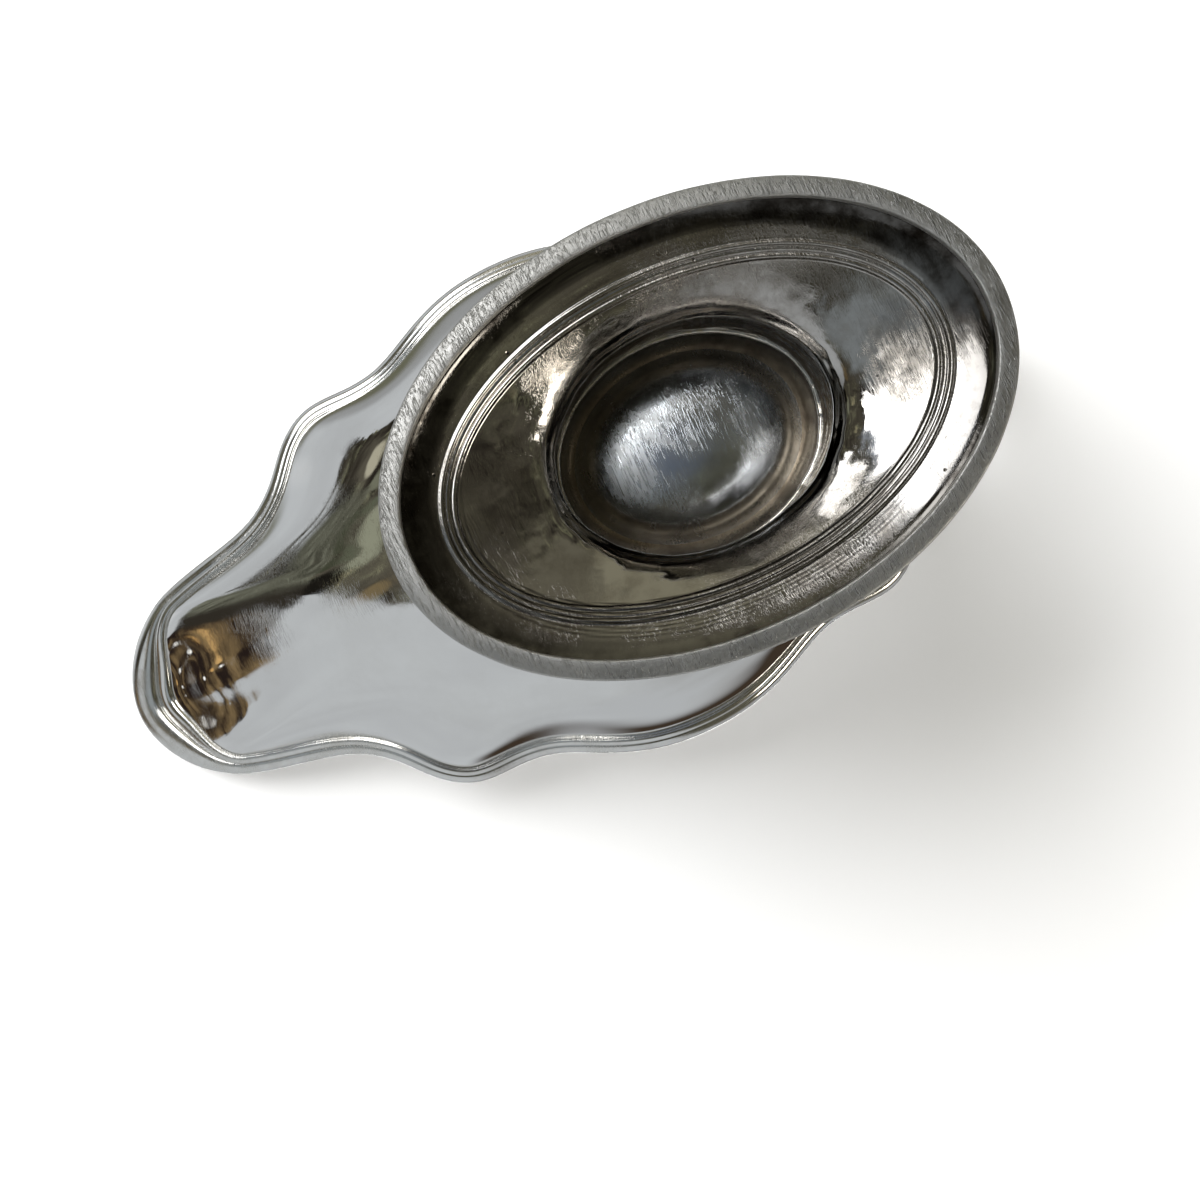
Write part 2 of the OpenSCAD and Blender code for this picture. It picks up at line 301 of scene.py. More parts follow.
def bowl_rows():
    """The bowl's outer face, row by row, from the middle of its floor to the rim's edge.

    Also gives the level way outward at each point of the rim.
    """
    rim = rim_loop()
    tangent = np.roll(rim, -1, axis=0) - np.roll(rim, 1, axis=0)
    out = units(np.stack([-tangent[:, 1], tangent[:, 0], np.zeros(len(rim))], axis=1))
    edge = rim - BORDER_INSET * out
    x = rim[:, :1]
    tip = between(x, *TIP_FLARES)
    flare = SIDE_FLARE + SPOUT_FLARE * between(x, *SPOUT_FLARES)
    flare += (LIP_FLARE - SIDE_FLARE - SPOUT_FLARE) * tip
    throat = edge - flare * out - (BORDER_H - tip) * np.array([0, 0, 1])
    soft = loop_mean(throat, THROAT_REACH)
    angle = np.arctan2(rim[:, 1], rim[:, 0])
    oval = np.stack([np.cos(angle), np.sin(angle)], axis=1)

    def ring(size_x, size_y, z):
        return np.concatenate([oval * (size_x, size_y), np.full((len(oval), 1), z)], axis=1)

    outlines = [ring(a, b, BOWL_FLOOR_Z + z) for a, b, z in [FLOOR_MIDDLE] + DOME]
    low = ring(*COLLAR_TOP, COLLAR_TOP_Z)
    spout = between(x, *BODY_TO_SPOUT)
    for way, rise, spout_way, spout_rise, waves in PROFILE:
        top = soft + waves * (throat - soft)
        outline = low + (way + (spout_way - way) * spout) * (top - low)
        height = rise + (spout_rise - rise) * spout
        outline[:, 2:] = low[:, 2:] + height * (top[:, 2:] - low[:, 2:])
        outlines.append(outline)
    outlines.append(edge)
    outlines = np.array(outlines)
    gaps = np.linalg.norm(np.diff(outlines, axis=0), axis=2).mean(axis=1)
    at = np.concatenate([[0], np.cumsum(gaps)])
    wanted = []
    for start, gap, steps in zip(at, gaps, BOWL_STEPS):
        wanted += [start + gap * j / steps for j in range(steps)]
    wanted.append(at[-1])
    rows = smooth_curve(outlines, np.array(wanted) / at[-1], at=at)
    return rows, out


def make_bowl(rows, out, polished, satin_blue_reflection):
    """The wall with a rounded edge: satin on the floor inside the neck, tinted with a painted bluish
    reflection, polished elsewhere.
    """
    normals = grid_normals(rows)
    normals[0] = (0, 0, -1)
    normals[-1] = units(normals[-1] + 0.6 * out)
    inner = rows - WALL * normals
    up = units(rows[-1] - rows[-2])
    cap = []
    for a in np.radians([30, 60, 90, 120, 150]):
        middle = (rows[-1] + inner[-1]) / 2
        cap.append(middle + (rows[-1] - middle) * math.cos(a) + up * WALL / 2 * math.sin(a))
    grid = np.concatenate([rows, np.array(cap), inner[::-1]])
    piece = loop_grid("bowl_body", grid, cap_first=True, cap_last=True)
    finish_piece(piece, ["bowl"], "polished_silver", polished, satin_blue_reflection)
    satin_top = (COLLAR_TOP_Z + 0.2) * MM
    for polygon in piece.data.polygons:
        low = max(piece.data.vertices[v].co.z for v in polygon.vertices) < satin_top
        outside = polygon.index < len(rows) * ROUND_RIM or len(polygon.vertices) == 3
        polygon.material_index = 1 if low and outside else 0
    return piece


def make_border(rows, out, material):
    """The reeded wire: a broad reed at the edge, a groove and a narrow bead, on the wall's face."""
    normals = grid_normals(rows)
    normals[-1] = units(normals[-1] + 0.3 * out)
    flare_rows = BOWL_STEPS[-1]
    face = rows[::-1][: flare_rows + 1]
    face_out = normals[::-1][: flare_rows + 1]
    # Its section, as the way down the flared face, from 0 to 1, and how far it stands off.
    section = [(0.0, -BORDER_SINK)]
    for a in np.radians(np.linspace(6, 170, 22)):
        section.append((0.30 * (1 - math.cos(a)), REED_RELIEF * math.sin(a) ** 0.85))
    section.append((0.61, 0.12))
    for a in np.radians(np.linspace(14, 166, 14)):
        section.append((0.63 + 0.18 * (1 - math.cos(a)), BEAD_RELIEF * math.sin(a) ** 0.85))
    section.append((1.0, -BORDER_SINK))
    loops = []
    for u, v in section:
        r = u * flare_rows
        i = min(int(r), flare_rows - 1)
        f = r - i
        place = face[i] * (1 - f) + face[i + 1] * f
        way = units(face_out[i] * (1 - f) + face_out[i + 1] * f)
        loops.append(place + v * way)
    piece = loop_grid("rim_border_reeds", np.array(loops), joined=True)
    return finish_piece(piece, ["rim_border"], "border_silver", material)


# ---------------------------------------------------------------- the foot

def oval_loop(size_x, size_y, z, n=ROUND_OVAL):
    a = np.linspace(0, 2 * math.pi, n, endpoint=False)
    return np.stack([size_x * np.cos(a), -size_y * np.sin(a), np.full(n, float(z))], axis=1)


def foot_loop(inset, z):
    return oval_loop(FOOT_L / 2 - inset, FOOT_W / 2 - inset, z)


def reeds(start_in, start_z, pitch, rise, bulges, steps, side):
    """Half-round ridges side by side, as insets and heights; side is 1 outside and -1 inside."""
    made = []
    for i, bulge in enumerate(bulges):
        for j in range(steps):
            t = (j + 0.5) / steps
            b = side * bulge * math.sin(math.pi * t) ** 0.8
            made.append((start_in + pitch * (i + t) - 0.5 * b, start_z + rise * (i + t) + b))
    return made


def pedestal(bottom, top, z_low, z_high, rows):
    """Ovals that run in gently over the foot's slope, then turn up into the straight stem."""
    made = []
    for way, rise in smooth_curve(PEDESTAL, np.linspace(0, 1, rows + 1)[1:]):
        made.append(oval_loop(
            bottom[0] + (top[0] - bottom[0]) * way,
            bottom[1] + (top[1] - bottom[1]) * way,
            z_low + (z_high - z_low) * rise))
    return made


def foot_outer_rows():
    """The outside, from the ring up over the rolled edge and the reeded step to the waist."""
    edge = [
        (0.5, RING_H), (0.6, RING_H + 0.8), (1.5, 4.6), (3.4, 6.3), (5.8, 7.5),
        (STEP_IN - 0.5, STEP_Z - 0.3),
    ]
    rows = [foot_loop(d, z) for d, z in smooth_curve(edge, np.linspace(0, 1, 30))]
    step = reeds(STEP_IN, STEP_Z, REED_PITCH, REED_RISE, REED_BULGES, 6, 1)
    rows += [foot_loop(d, z) for d, z in step]
    end_in = STEP_IN + len(REED_BULGES) * REED_PITCH
    end_z = STEP_Z + len(REED_BULGES) * REED_RISE
    rows += pedestal((FOOT_L / 2 - end_in, FOOT_W / 2 - end_in), WAIST, end_z, WAIST_Z, 60)
    return np.array(rows)


def foot_inner_rows():
    """The inside: a cove by the ring, three ridges, the slope, a rolled lip and the stem."""
    cove = [(1.6, RING_H), (1.8, 3.4), (2.8, 5.2), (4.6, 6.3), (6.6, 7.0), (8.4, 7.7)]
    rows = [foot_loop(d, z) for d, z in smooth_curve(cove, np.linspace(0, 1, 30))]
    ridges = reeds(RIDGE_IN, RIDGE_Z, RIDGE_PITCH, RIDGE_RISE, RIDGE_BULGES, 10, -1)
    rows += [foot_loop(d, z) for d, z in ridges]
    end_in = RIDGE_IN + len(RIDGE_BULGES) * RIDGE_PITCH + 0.1
    end_z = RIDGE_Z + len(RIDGE_BULGES) * RIDGE_RISE + 0.05
    top = (WAIST[0] - WALL, WAIST[1] - WALL)
    rows += pedestal((FOOT_L / 2 - end_in, FOOT_W / 2 - end_in), top, end_z, WAIST_Z, 210)
    rows = np.array(rows)
    z = rows[:, :, 2]
    # The spun inner face was never planished flat: it carries shallow ripples.
    depth = between(z, 9.5, 11.0) * between(z, WAIST_Z, WAIST_Z - 3)
    ripple = noise_at(rows * (1, 1, 0.6), 9.0, 1) * 0.19 + noise_at(rows, 3.5, 2) * 0.045
    wander = noise_at(rows * (1, 1, 0), 14.0, 3, 2)
    lip = LIP_BULGE * (1 + 0.35 * wander)
    lip *= np.exp(-((z - LIP_Z - 0.5 * wander) / LIP_HALF_H) ** 2)
    return rows - (ripple * depth + lip)[:, :, None] * grid_normals(rows)


def foot_tarnish_and_painted_shade(grid, outer_rows):
    """Tarnish and painted shade are thickest in the cove under the ring and down the stem, and heavier
    on the shaded side.
    """
    inset = FOOT_L / 2 - np.hypot(grid[:, :, 0], grid[:, :, 1] * FOOT_L / FOOT_W)
    z = grid[:, :, 2]
    tarnished_and_shaded = ramp(0.55 + units(grid[:, :, :2]) @ TARNISHED_AND_SHADED_SIDE)
    # Painted shade: the cove under the ring's inner wall is darkened along with its tarnish, most on
    # the shaded side.
    cove = (0.90 + 0.10 * tarnished_and_shaded) * (1 - (0.22 - 0.20 * tarnished_and_shaded) * between(inset, 4.2, 6.8))
    cove *= 1 - 0.35 * between(inset, 7.1, 8.1)
    groove = 0.5 + 0.5 * np.cos((inset - RIDGE_IN) * 2 * math.pi / RIDGE_PITCH)
    reed = (0.62 - 0.50 * tarnished_and_shaded) * groove + 0.25 * (1 - tarnished_and_shaded)
    slope = 0.06 + 0.10 * between(inset, 11.5, 13.5)
    # Painted shade: inside the stem the value rises to the full near-black crust.
    stem = between(z, 18.5, 21.0)
    tarnish_wear_and_painted_light = np.where(z > 9.6, np.maximum(slope, stem), np.where(inset > 8.3, reed, cove))
    scorch = np.linalg.norm((grid - SCORCH_AT) * (1, 1, 0.8), axis=2) / SCORCH_REACH
    tarnish_wear_and_painted_light = np.maximum(tarnish_wear_and_painted_light, 0.85 * np.exp(-scorch ** 2))
    tarnish_wear_and_painted_light[:outer_rows] = 0.1
    return tarnish_wear_and_painted_light


def two_faced(piece, outer_rows):
    """Gives the rows of a shell's inside the piece's second material."""
    for polygon in piece.data.polygons:
        polygon.material_index = 1 if polygon.index // ROUND_OVAL >= outer_rows - 1 else 0


def make_foot_shell(outside, inside):
    outer = foot_outer_rows()
    grid = np.concatenate([outer, foot_inner_rows()[::-1]])
    piece = loop_grid("foot_shell_spun", grid, joined=True)
    finish_piece(piece, ["foot_shell"], "foot_silver", outside, inside)
    set_tarnish_wear_and_painted_light(piece, foot_tarnish_and_painted_shade(grid, len(outer)))
    two_faced(piece, len(outer))
    return piece


def make_base_ring(material):
    """The flat ring, ground by use, with soft worn edges."""
    worn_radius = 0.35
    flat = []
    for radius, start in ((worn_radius, 180), (worn_radius, 270), (0.15, 0), (0.3, 90)):
        centre_in = radius if start in (90, 180) else RING_W - radius
        centre_z = radius if start in (180, 270) else RING_H - radius
        for a in np.radians(np.linspace(start, start + 90, 6)):
            flat.append((centre_in + radius * math.cos(a), centre_z + radius * math.sin(a)))
        if start == 180:
            flat += [(d, 0.0) for d in np.linspace(radius, RING_W - radius, 9)[1:-1]]
    # Wear has crowned the face: it rises a little towards the outer edge.
    section = []
    for d, z in flat:
        rise = CROWN * max(0, 1 - d / (0.75 * RING_W)) ** 1.5
        section.append((d, z + rise * (1 - z / RING_H)))
    loops = np.array([foot_loop(d, z) for d, z in section])
    wander = noise_at(loops * (1, 1, 0.2), 6.0, 5)
    inner_side = np.array([d for d, _ in section])[:, None] > RING_W / 2
    shift = np.where(inner_side, 0.10, 0.04) * wander
    centre_way = units(loops * (1, (FOOT_L / FOOT_W) ** 2, 0))
    loops = loops - np.maximum(shift, -0.02)[:, :, None] * centre_way
    piece = loop_grid("base_ring_ground", loops, joined=True)
    # On the ring the value says how brightly it is rubbed: wear with a painted highlight at its edges,
    # and wear with painted light on the side towards the window.
    edge = np.array([0.0 if 0.3 < d < RING_W - 0.3 else 1.0 for d, _ in section])
    # Painted light: the side of the ring that faces the window is made lighter.
    worn = 0.9 * ramp(0.2 + 0.9 * units(loops[:, :, :2]) @ WORN_AND_LIT_SIDE)
    set_tarnish_wear_and_painted_light(piece, np.maximum(edge[:, None], worn))
    return finish_piece(piece, ["foot_base_ring"], "worn_silver", material)


def make_collar(outside, inside):
    """The flared neck, with a fillet of solder inside it against the bowl's floor; its inside is dark
    with tarnish and painted shade.
    """
    flare = [
        (WAIST[0], WAIST[1], WAIST_Z),
        (WAIST[0] + 0.3, WAIST[1] + 0.2, WAIST_Z + 2.5),
        (WAIST[0] + 1.1, WAIST[1] + 0.8, WAIST_Z + 5),
        (COLLAR_TOP[0] + WALL, COLLAR_TOP[1] + WALL, COLLAR_TOP_Z + 0.1),
        (COLLAR_TOP[0] + 2.3, COLLAR_TOP[1] + 2.2, COLLAR_TOP_Z + 0.95),
    ]
    fillet = [
        (WAIST[0] - WALL, WAIST[1] - WALL, WAIST_Z), (22.25, 17.75, 38.4), (21.7, 17.2, 40.6),
        (20.5, 16.1, 41.9), (19.0, 14.9, 42.45),
    ]
    outer = [oval_loop(*o) for o in smooth_curve(flare, np.linspace(0, 1, 24))]
    inner = [oval_loop(*o) for o in smooth_curve(fillet, np.linspace(0, 1, 26))]
    grid = np.concatenate([np.array(outer), np.array(inner)[::-1]])
    piece = loop_grid("neck_collar_flared", grid, joined=True)
    finish_piece(piece, ["neck_collar"], "foot_silver", outside, inside)
    two_faced(piece, len(outer))
    return piece


def make_seam(material):
    """The run of solder inside the waist, where the foot and the collar meet."""
    sides = 10
    ring = oval_loop(WAIST[0] - WALL, WAIST[1] - WALL, WAIST_Z, 600)
    wave = noise_at(ring, 7.0, 11)
    fine = noise_at(ring, 2.2, 12)
    ring[:, 2] += 0.35 * wave
    out = units(ring * (1, 1.5, 0))
    ring += out * (0.10 * fine)[:, None]
    radius = 0.42 + 0.16 * wave + 0.10 * fine
    loops = []
    for j in range(sides):
        t = 2 * math.pi * j / sides
        beside = math.cos(t) * out + math.sin(t) * np.array([0, 0, 1.0])
        loops.append(ring + radius[:, None] * beside)
    piece = loop_grid("neck_solder_seam", np.array(loops)[::-1], joined=True)
    return finish_piece(piece, [], "foot_silver", material)


# ---------------------------------------------------------------- the handle

# The scroll's middle line from the bowl's back to the rim: X, Z and thickness against full.
HANDLE_LINE = [
    (40.8, 60.5, 0.9), (45, 57.6, 0.85), (50, 57.4, 0.8), (54.6, 61, 0.85), (58, 69, 0.95),
    (60.6, 79, 1), (61.6, 89, 1), (60.4, 98.5, 0.95), (56.6, 105.4, 0.9), (50.6, 108, 0.85),
    (45.4, 105.6, 0.8), (42.8, 100.4, 0.75), (42.8, 95, 0.8),
]


def handle_frames(steps):
    """The handle's middle line cut into steps, and the way it runs at each."""
    line = smooth_curve(HANDLE_LINE, np.linspace(0, 1, steps))
    way = np.gradient(line[:, :2], axis=0)
    way /= np.linalg.norm(way, axis=1, keepdims=True)
    return line, way


def on_handle(line, way, across, side):
    """Points beside the handle's middle line: across is outward in its plane, side along Y."""
    x = line[:, 0] + across * way[:, 1]
    z = line[:, 1] - across * way[:, 0]
    return np.stack([x, np.broadcast_to(side, x.shape), z], axis=1)


def make_handle(material):
    line, way = handle_frames(260)
    loops = []
    for a in np.linspace(0, 2 * math.pi, 48, endpoint=False):
        c, s = math.cos(a), math.sin(a)
        across = line[:, 2] * HANDLE_T / 2 * np.sign(c) * abs(c) ** 0.9
        side = line[:, 2] * HANDLE_W / 2 * np.sign(s) * abs(s) ** 0.9
        loops.append(on_handle(line, way, across, side))
    grid = np.array(loops).transpose(1, 0, 2)
    piece = loop_grid("handle_scroll_cast", grid, cap_first=True, cap_last=True)
    return finish_piece(piece, ["handle_scroll"], "handle_silver", material)


def make_thumb_rest(material):
    """A leaf laid over the handle's crest, with a raised midrib and fluted sides."""
    line, way = handle_frames(361)
    first, last = 200, 300
    loops = []
    for i in range(first, last + 1, 2):
        t = (i - first) / (last - first)
        half = 4.5 * (0.3 + 0.7 * math.sin(math.pi * min(max(t, 0.04), 0.96)) ** 0.7)
        seat = line[i, 2] * HANDLE_T / 2
        top, bottom = [], []
        for s in np.linspace(-1, 1, 41):
            curl = 0.35 * s * s
            flute = 0.16 * math.cos(3 * math.pi * s) * (1 - abs(s))
            flute += 0.35 * math.exp(-(s / 0.12) ** 2)
            crown = 1.15 * (1 - abs(s) ** 3) ** 0.6
            top.append((seat - 0.2 - curl + crown + flute * math.sin(math.pi * t), half * s))
            bottom.append((seat - 0.5 - curl, half * s * 0.98))
        ring = top + bottom[::-1]
        one = np.repeat(line[i : i + 1], len(ring), axis=0)
        d = np.repeat(way[i : i + 1], len(ring), axis=0)
        across = np.array([p[0] for p in ring])
        side = np.array([p[1] for p in ring])
        loops.append(on_handle(one, d, across, side))
    piece = loop_grid("handle_leaf_rest", np.array(loops)[::-1], cap_first=True, cap_last=True)
    return finish_piece(piece, ["handle_thumb_rest"], "handle_silver", material)


def turned(name, profile, place, axis, material, nodes):
    """A lathe-turned piece: profile holds radius and height along its axis."""
    loops = []
    for r, h in smooth_curve(profile, np.linspace(0, 1, 40)):
        ring = oval_loop(r, r, h, 96)
        if axis == "x":
            ring = np.stack([ring[:, 2], ring[:, 1], -ring[:, 0]], axis=1)
        loops.append(ring + place)
    piece = loop_grid(name, np.array(loops), cap_first=True, cap_last=True)
    return finish_piece(piece, nodes, "handle_silver", material)


def make_mounts(material):
    turned(
        "handle_upper_block",
        [
            (2.9, 0.0), (3.35, 0.4), (3.35, 1.5), (2.9, 2.1),
            (2.35, 2.5), (2.3, 3.6), (2.5, 4.5), (2.2, 5.0),
        ],
        np.array([42.8, 0, 90.0]), "z", material, ["handle_upper_mount"])
    turned(
        "handle_lower_pad",
        [(5.5, 0.0), (5.95, 0.3), (5.8, 0.9), (5.2, 1.5), (3.9, 1.9), (3.2, 2.4), (3.1, 2.9)],
        np.array([37.9, 0, 60.5]), "x", material, ["handle_lower_mount"])


# ---------------------------------------------------------------- materials

class Tree:
    """Short ways to add nodes to a material's or the world's node tree."""

    def __init__(self, tree):
        self.tree = tree
        tree.nodes.clear()

    def add(self, kind, **values):
        node = self.tree.nodes.new(kind)
        for name, value in values.items():
            setattr(node, name, value)
        return node

    def link(self, source, target):
        self.tree.links.new(source, target)

    def put(self, node, socket, value):
        """Sets a socket to a number, or links it if the value is another node's output."""
        target = node.inputs[socket]
        if isinstance(value, bpy.types.NodeSocket):
            self.link(value, target)
        else:
            target.default_value = value

    def math(self, operation, a, b=0.0, clamp=False):
        node = self.add("ShaderNodeMath", operation=operation, use_clamp=clamp)
        self.put(node, 0, a)
        self.put(node, 1, b)
        return node.outputs[0]

    def times(self, a, b, clamp=False):
        return self.math("MULTIPLY", a, b, clamp)

    def along(self, vector, axis):
        """How far a vector reaches along an axis."""
        node = self.add("ShaderNodeVectorMath", operation="DOT_PRODUCT")
        self.link(vector, node.inputs[0])
        node.inputs[1].default_value = axis
        return node.outputs["Value"]

    def spread(self, value, low, high, to_low=0.0, to_high=1.0, smooth=True):
        """Takes value from between low and high to between two new limits, and holds it there."""
        kind = "SMOOTHSTEP" if smooth else "LINEAR"
        node = self.add("ShaderNodeMapRange", interpolation_type=kind)
        for socket, v in zip(range(5), (value, low, high, to_low, to_high)):
            self.put(node, socket, v)
        return node.outputs[0]

    def fall(self, value, low, high):
        """1 below low, 0 above high."""
        return self.spread(value, low, high, 1.0, 0.0)

    def mix(self, factor, a, b):
        """A colour from a to b as the factor goes from 0 to 1."""
        node = self.add("ShaderNodeMix", data_type="RGBA")
        self.put(node, "Factor", factor)
        for socket, colour in ((6, a), (7, b)):
            linked = isinstance(colour, bpy.types.NodeSocket)
            self.put(node, socket, colour if linked else (*colour, 1))
        return node.outputs[2]

    def blend(self, factor, a, b):
        """A number from a to b as the factor goes from 0 to 1."""
        node = self.add("ShaderNodeMix", data_type="FLOAT")
        for socket, value in enumerate((factor, None, a, b)):
            if value is not None:
                self.put(node, socket, value)
        return node.outputs[0]

    def patch(self, way, off, turn, reach, ripple):
        """1 in a soft patch of the world round a direction, 0 outside its reach in degrees."""
        off, turn = math.radians(off), math.radians(turn)
        left = math.sin(off) * math.cos(turn)
        rise = math.sin(off) * math.sin(turn)
        cos_view, sin_view = math.cos(VIEW_TURN), math.sin(VIEW_TURN)
        middle = (
            -left * cos_view + rise * sin_view, -left * sin_view - rise * cos_view, -math.cos(off))
        angle = self.math("DEGREES", self.math("ARCCOSINE", self.along(way, middle)))
        angle = self.math("ADD", angle, self.times(ripple, 0.6 * reach))
        return self.fall(angle, 0.75 * reach, 1.25 * reach)

    def noise(self, vector, scale, detail=3.0, rough=0.55, distortion=0.0):
        node = self.add("ShaderNodeTexNoise")
        self.link(vector, node.inputs["Vector"])
        node.inputs["Scale"].default_value = scale
        node.inputs["Detail"].default_value = detail
        node.inputs["Roughness"].default_value = rough
        node.inputs["Distortion"].default_value = distortion
        return node.outputs["Fac"]

    def stretched(self, vector, scale, turn=(0, 0, 0)):
        node = self.add("ShaderNodeMapping")
        self.link(vector, node.inputs["Vector"])
        node.inputs["Scale"].default_value = scale
        node.inputs["Rotation"].default_value = turn
        return node.outputs[0]


def new_material(name):
    material = bpy.data.materials.new(name)
    material.use_nodes = True
    return material, Tree(material.node_tree)


def metal(t, base, roughness, height, bump_strength):
    """Ends a tree as a metal surface with the given colour, roughness and fine relief."""
    bump = t.add("ShaderNodeBump")
    bump.inputs["Strength"].default_value = bump_strength
    bump.inputs["Distance"].default_value = 0.0002
    t.link(height, bump.inputs["Height"])
    shader = t.add("ShaderNodeBsdfPrincipled")
    shader.inputs["Metallic"].default_value = 1.0
    t.link(base, shader.inputs["Base Color"])
    t.link(roughness, shader.inputs["Roughness"])
    t.link(bump.outputs[0], shader.inputs["Normal"])
    t.link(shader.outputs[0], t.add("ShaderNodeOutputMaterial").inputs["Surface"])


def scratches(t, where, amount, *runs):
    """Fine hairlines, 1 on a line and 0 off it; each run of them has a scale and a turn."""
    hair = None
    for scale, turn in runs:
        lined = t.stretched(where, (scale, scale * 0.05, scale), turn)
        wavy = t.noise(lined, 1.0, 2.0, 0.5, 0.1)
        run = t.fall(t.math("ABSOLUTE", t.math("SUBTRACT", wavy, 0.5)), amount * 0.2, amount)
        hair = run if hair is None else t.math("MAXIMUM", hair, run)
    return hair


def silver(name, colour, dark, rough_low, rough_high, tarnish, scratch_depth=0.25, dents=0.0,
           pits=0.0, crusted_and_shaded=False):
    """Sterling silver: uneven polish, hairlines and a little tarnish.

    pits adds dark specks, and the last switch adds the near-black crust of tarnish and painted shade
    that the piece's vertices ask for.
    """
    material, t = new_material(name)
    where = t.add("ShaderNodeTexCoord").outputs["Object"]
    cloud = t.noise(where, 55.0, 4.0, 0.6)
    bloom = t.noise(where, 260.0, 5.0, 0.65)
    patch = t.spread(t.math("ADD", t.times(cloud, 0.65), t.times(bloom, 0.35)), 0.42, 0.66)
    hair = scratches(
        t, where, 0.06, (1900, (0, 0, 0.5)), (1500, (0.4, 0.2, 2.0)), (2300, (0.2, 0.6, 1.2)))
    worn = t.times(hair, t.spread(cloud, 0.35, 0.7))
    base = t.mix(t.times(patch, tarnish, clamp=True), colour, dark)
    if crusted_and_shaded:
        tarnish_wear_and_painted_light = t.add("ShaderNodeAttribute", attribute_name="tarnish_wear_and_painted_light").outputs["Fac"]
        # The near-black crust stands for tarnish and for painted shade.
        crust_and_shade = t.times(tarnish_wear_and_painted_light, t.spread(patch, 0, 1, 0.80, 1.0), clamp=True)
        base = t.mix(crust_and_shade, base, (0.012, 0.0095, 0.007))
    roughness = t.spread(patch, 0, 1, rough_low, rough_high, smooth=False)
    roughness = t.math("ADD", roughness, t.times(worn, 0.12))
    height = t.times(worn, -scratch_depth)
    height = t.math("ADD", height, t.times(t.noise(where, 90.0, 2.0, 0.4), dents))
    if pits:
        cells = t.add("ShaderNodeTexVoronoi", feature="F1")
        t.link(where, cells.inputs["Vector"])
        cells.inputs["Scale"].default_value = 420.0
        spot = t.fall(cells.outputs["Distance"], 0.06, 0.16)
        spot = t.times(spot, t.spread(t.noise(where, 160.0, 2.0, 0.5), 0.60, 0.66))
        base = t.mix(t.times(spot, pits, clamp=True), base, (0.03, 0.025, 0.02))
        height = t.math("SUBTRACT", height, t.times(spot, 0.8))
    metal(t, base, roughness, height, 0.35)
    return material


def ground_silver(name):
    """The flat ring's bearing face: matt grey, crossed by scratches, bright where it rubs; the rubbed
    edges and one side are also painted lighter, as painted highlight and painted light.
    """
    material, t = new_material(name)
    where = t.add("ShaderNodeTexCoord").outputs["Object"]
    grain = t.noise(where, 1500.0, 4.0, 0.7)
    cloud = t.noise(where, 70.0, 4.0, 0.6)
    hair = scratches(
        t, where, 0.08, (2600, (0, 0, 0.9)), (2100, (0, 0, 2.3)), (3100, (0, 0, 0.2)),
        (1700, (0, 0, 1.5)))
    tone = t.math("ADD", t.times(grain, 0.55), t.times(cloud, 0.45))
    base = t.mix(t.spread(tone, 0.35, 0.65), (0.22, 0.22, 0.215), (0.37, 0.37, 0.36))
    base = t.mix(t.times(hair, 0.35), base, (0.62, 0.62, 0.61))
    rubbed_and_lit = t.add("ShaderNodeAttribute", attribute_name="tarnish_wear_and_painted_light").outputs["Fac"]
    # Painted highlight and painted light: the rubbed edges and the lit side are lighter.
    base = t.mix(t.times(rubbed_and_lit, 0.55), base, (0.66, 0.65, 0.62))
    roughness = t.spread(tone, 0.3, 0.7, 0.34, 0.52, smooth=False)
    height = t.math("ADD", t.times(grain, 0.5), t.times(hair, -0.6))
    metal(t, base, roughness, height, 0.6)
    return material


# ---------------------------------------------------------------- the studio

# The camera: how far it is turned round the foot, how far off it is and how far beside the ring.
VIEW_TURN = math.radians(25)
CAMERA_BACK = 340 * MM
CAMERA_SHIFT = Vector((-24.07, 16.91)) * MM
LENS = 68.9


def add_camera():
    """Looks straight up at the foot's underside, with the pouring lip to the lower left."""
    low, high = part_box("foot_base_ring")
    centre = (low + high) / 2
    right = Vector((math.cos(VIEW_TURN), math.sin(VIEW_TURN), 0))
    up = Vector((math.sin(VIEW_TURN), -math.cos(VIEW_TURN), 0))
    back = right.cross(up)
    data = bpy.data.cameras.new("camera")
    data.lens = LENS
    data.sensor_width = 36
    camera = bpy.data.objects.new("camera", data)
    bpy.context.scene.collection.objects.link(camera)
    place = Vector((centre.x + CAMERA_SHIFT.x, centre.y + CAMERA_SHIFT.y, low.z - CAMERA_BACK))
    turn = Matrix((right, up, back)).transposed().to_4x4()
    camera.matrix_world = Matrix.Translation(place) @ turn
    bpy.context.scene.camera = camera


def plane(name, corners):
    """A flat piece of the stage, whose front is the side from which its corners run anticlockwise."""
    piece = add_object(name, np.array(corners) / MM, [(0, 1, 2, 3)], smooth=False)
    piece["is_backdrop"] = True
    return piece


